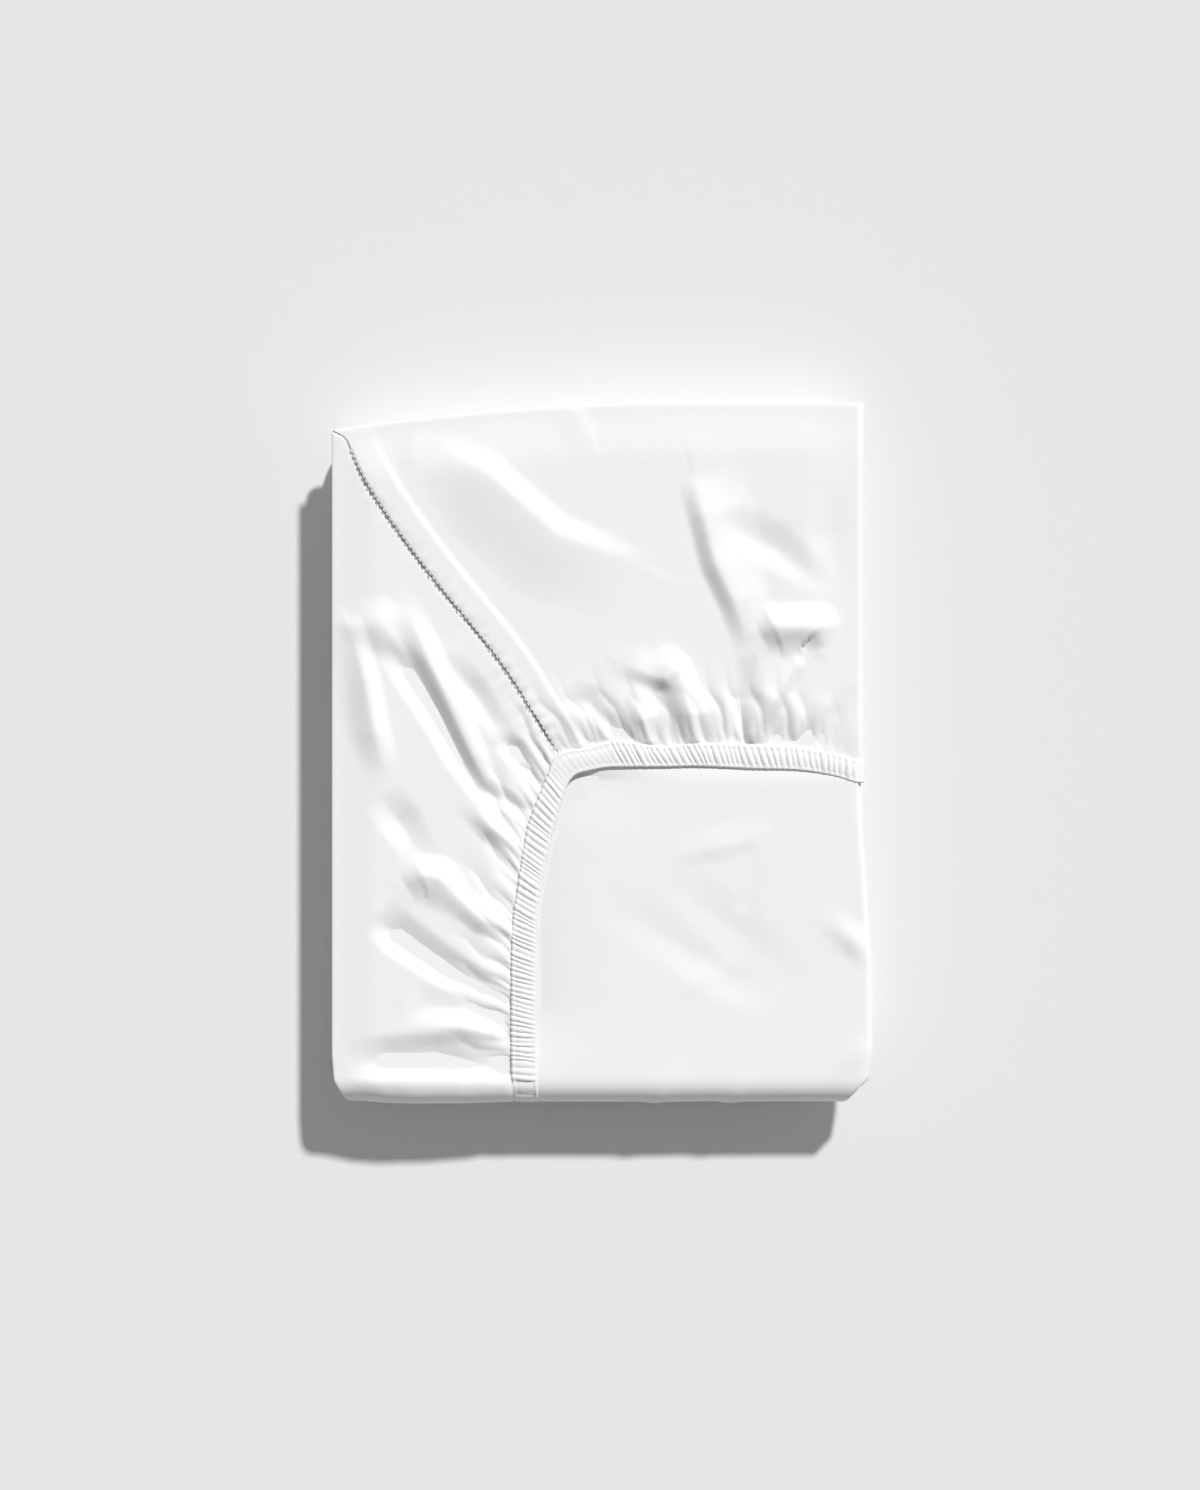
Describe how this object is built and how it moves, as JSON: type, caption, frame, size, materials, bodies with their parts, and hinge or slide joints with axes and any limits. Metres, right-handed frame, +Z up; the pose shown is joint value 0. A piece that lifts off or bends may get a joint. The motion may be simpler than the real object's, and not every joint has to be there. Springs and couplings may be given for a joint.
{
  "type": "folded fitted sheet",
  "caption": "White cotton fitted sheet folded into a flat rectangular packet, with one gathered corner and its elastic edging lying on top.",
  "frame": {"origin": "centre of the packet's box at its underside", "axes": "+Z up out of the side with the gathered corner; +Y along the long side, away from the fat folded front edge; +X across the packet, towards the end of the elastic that wraps over the side"},
  "size_m": [0.2612, 0.3372, 0.0369],
  "materials": {
    "cotton_percale": "plain white cotton percale, crisp and matt",
    "elastic_band": "white gathered elastic edging, ribbed across"
  },
  "bodies": {
    "root": {"sheet_cloth": "cotton_percale", "elastic_edging": "elastic_band"}
  },
  "joints": []
}
